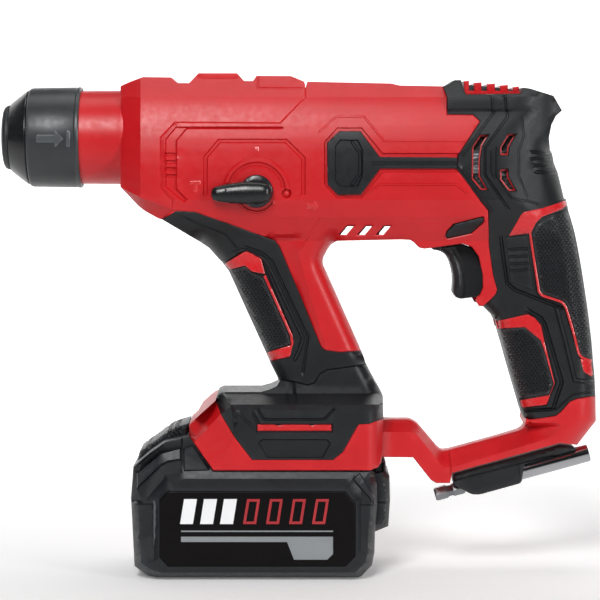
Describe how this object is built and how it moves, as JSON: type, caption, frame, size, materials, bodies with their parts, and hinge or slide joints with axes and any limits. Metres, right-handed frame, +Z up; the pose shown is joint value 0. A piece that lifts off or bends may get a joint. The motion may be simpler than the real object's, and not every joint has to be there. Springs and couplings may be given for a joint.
{
  "type": "rotary hammer",
  "caption": "Cordless D-handle rotary hammer with quick-change chuck, mode knob, braced front strut, slide-on battery pack and a clipped bit holder.",
  "frame": {"origin": "underside of the battery pack, on the split plane of the clamshell housing, near the middle of the tool's length", "axes": "+X from the chuck towards the rear handle, +Z up; the chuck points to -X and Y = 0 is the clamshell's split plane"},
  "size_m": [0.2962, 0.0772, 0.247],
  "materials": {
    "red_plastic": "satin moulded nylon",
    "black_plastic": "fine-textured moulded nylon",
    "soft_grip": "matte overmoulded elastomer",
    "rubber": "matte rubber",
    "sleeve_plastic": "dark satin plastic",
    "gloss_black": "polished dark plastic",
    "label": "glossy printed plate",
    "steel": "ground steel",
    "spring_steel": "drawn wire",
    "aluminium": "machined",
    "magnet": "sintered",
    "copper": "bare copper",
    "carbon": "pressed carbon",
    "inner_plastic": "plain moulded",
    "board": "solder-masked board",
    "cell_wrap": "shrink wrap",
    "lens": "clear",
    "black_chrome": "dark plated"
  },
  "bodies": {
    "housing": {"housing_left": "red_plastic", "housing_right": "red_plastic", "housing_screws": "steel", "rear_overmould": "soft_grip", "front_overmould": "soft_grip", "foot_covers": "black_plastic", "side_bumpers": "black_plastic", "top_vent_grille": "red_plastic", "work_light_lens": "lens", "gear_case": "red_plastic", "front_seal": "rubber", "spindle_bearings": "steel", "countershaft_bearings": "steel", "gear_frame": "aluminium", "motor_can": "steel", "motor_magnets": "magnet", "motor_bearings": "steel", "carbon_brushes": "carbon", "trigger_spring": "spring_steel", "switch_module": "inner_plastic", "control_board": "board", "terminal_block": "inner_plastic", "bit_clip": "black_plastic"},
    "spindle": {"spindle": "steel", "spindle_gear": "steel", "dust_cap": "rubber", "chuck_nose_cap": "gloss_black", "locking_balls": "steel", "spring_seat": "steel", "chuck_spring": "spring_steel"},
    "sleeve": {"locking_sleeve": "sleeve_plastic", "locking_ring": "steel"},
    "beat_piece": {"beat_piece": "steel"},
    "striker": {"striker": "steel", "striker_o_ring": "rubber"},
    "piston": {"piston": "aluminium", "piston_o_ring": "rubber", "piston_pin": "steel"},
    "wobble_ring": {"wobble_ring": "steel"},
    "countershaft": {"countershaft": "steel", "countershaft_gear": "steel"},
    "rotor": {"motor_rotor": "steel", "commutator": "copper", "motor_fan": "inner_plastic", "motor_pinion": "steel"},
    "mode_knob": {"mode_knob": "black_plastic"},
    "shift_fork": {"mode_shift_fork": "steel"},
    "trigger": {"trigger": "black_plastic"},
    "direction_lever": {"direction_lever": "black_plastic"},
    "bit_holder": {"bit_holder": "black_chrome"},
    "battery": {"pack_lower_case": "black_plastic", "pack_upper_case": "black_plastic", "pack_cells": "cell_wrap", "cell_frame": "inner_plastic", "pack_board": "board", "pack_terminals": "copper", "release_spring": "spring_steel", "pack_labels": "label"},
    "release_button": {"release_button": "black_plastic"},
    "gauge_button": {"gauge_button": "black_plastic"}
  },
  "joints": [
    {"name": "spindle_spin", "type": "hinge", "parent": "housing", "child": "spindle", "pos_m": [-0.1, 0, 0.2157], "axis": [1, 0, 0], "continuous": true},
    {"name": "sleeve_slide", "type": "slide", "parent": "spindle", "child": "sleeve", "axis": [1, 0, 0], "range_m": [0, 0.006], "stiffness_N_per_m": 1500, "springref_m": -0.008, "deforming": ["chuck_spring"]},
    {"name": "beat_piece_slide", "type": "slide", "parent": "spindle", "child": "beat_piece", "axis": [1, 0, 0], "range_m": [0, 0.004]},
    {"name": "striker_slide", "type": "slide", "parent": "spindle", "child": "striker", "axis": [1, 0, 0], "range_m": [-0.0045, 0.006]},
    {"name": "wobble_tilt", "type": "hinge", "parent": "housing", "child": "wobble_ring", "pos_m": [-0.02, 0, 0.1897], "axis": [0, 1, 0], "range_deg": [-12, 12]},
    {"name": "piston_stroke", "type": "slide", "parent": "housing", "child": "piston", "axis": [1, 0, 0], "range_m": [-0.0054, 0.0054]},
    {"name": "countershaft_spin", "type": "hinge", "parent": "housing", "child": "countershaft", "pos_m": [0, 0, 0.1897], "axis": [1, 0, 0], "continuous": true},
    {"name": "rotor_spin", "type": "hinge", "parent": "housing", "child": "rotor", "pos_m": [0.05, 0, 0.20335], "axis": [1, 0, 0], "continuous": true},
    {"name": "mode_turn", "type": "hinge", "parent": "housing", "child": "mode_knob", "pos_m": [-0.0211, -0.034, 0.1896], "axis": [0, 1, 0], "range_deg": [0, 180]},
    {"name": "fork_shift", "type": "slide", "parent": "housing", "child": "shift_fork", "axis": [1, 0, 0], "range_m": [0, 0.0081]},
    {"name": "trigger_pull", "type": "slide", "parent": "housing", "child": "trigger", "axis": [1, 0, 0], "range_m": [0, 0.0065], "stiffness_N_per_m": 1200, "springref_m": -0.004, "deforming": ["trigger_spring"]},
    {"name": "direction_shift", "type": "slide", "parent": "housing", "child": "direction_lever", "axis": [0, 1, 0], "range_m": [-0.003, 0.003]},
    {"name": "battery_slide", "type": "slide", "parent": "housing", "child": "battery", "axis": [-1, 0, 0], "range_m": [0, 0.085]},
    {"name": "latch_press", "type": "slide", "parent": "battery", "child": "release_button", "axis": [0, 0, -1], "range_m": [0, 0.003], "stiffness_N_per_m": 1500, "springref_m": -0.003, "deforming": ["release_spring"]},
    {"name": "gauge_press", "type": "slide", "parent": "battery", "child": "gauge_button", "axis": [1, 0, 0], "range_m": [0, 0.0008], "stiffness_N_per_m": 800, "springref_m": -0.001},
    {"name": "bit_holder_slide", "type": "slide", "parent": "housing", "child": "bit_holder", "axis": [0.9641, 0, 0.2656], "range_m": [0, 0.075]}
  ],
  "couplings": [
    {"joint": "countershaft_spin", "follows": "spindle_spin", "ratio": -3.4444},
    {"joint": "rotor_spin", "follows": "spindle_spin", "ratio": 11.481},
    {"joint": "wobble_tilt", "follows": "piston_stroke", "rad_per_m": 38.462},
    {"joint": "fork_shift", "follows": "mode_turn", "m_per_rad": 0.002546}
  ]
}
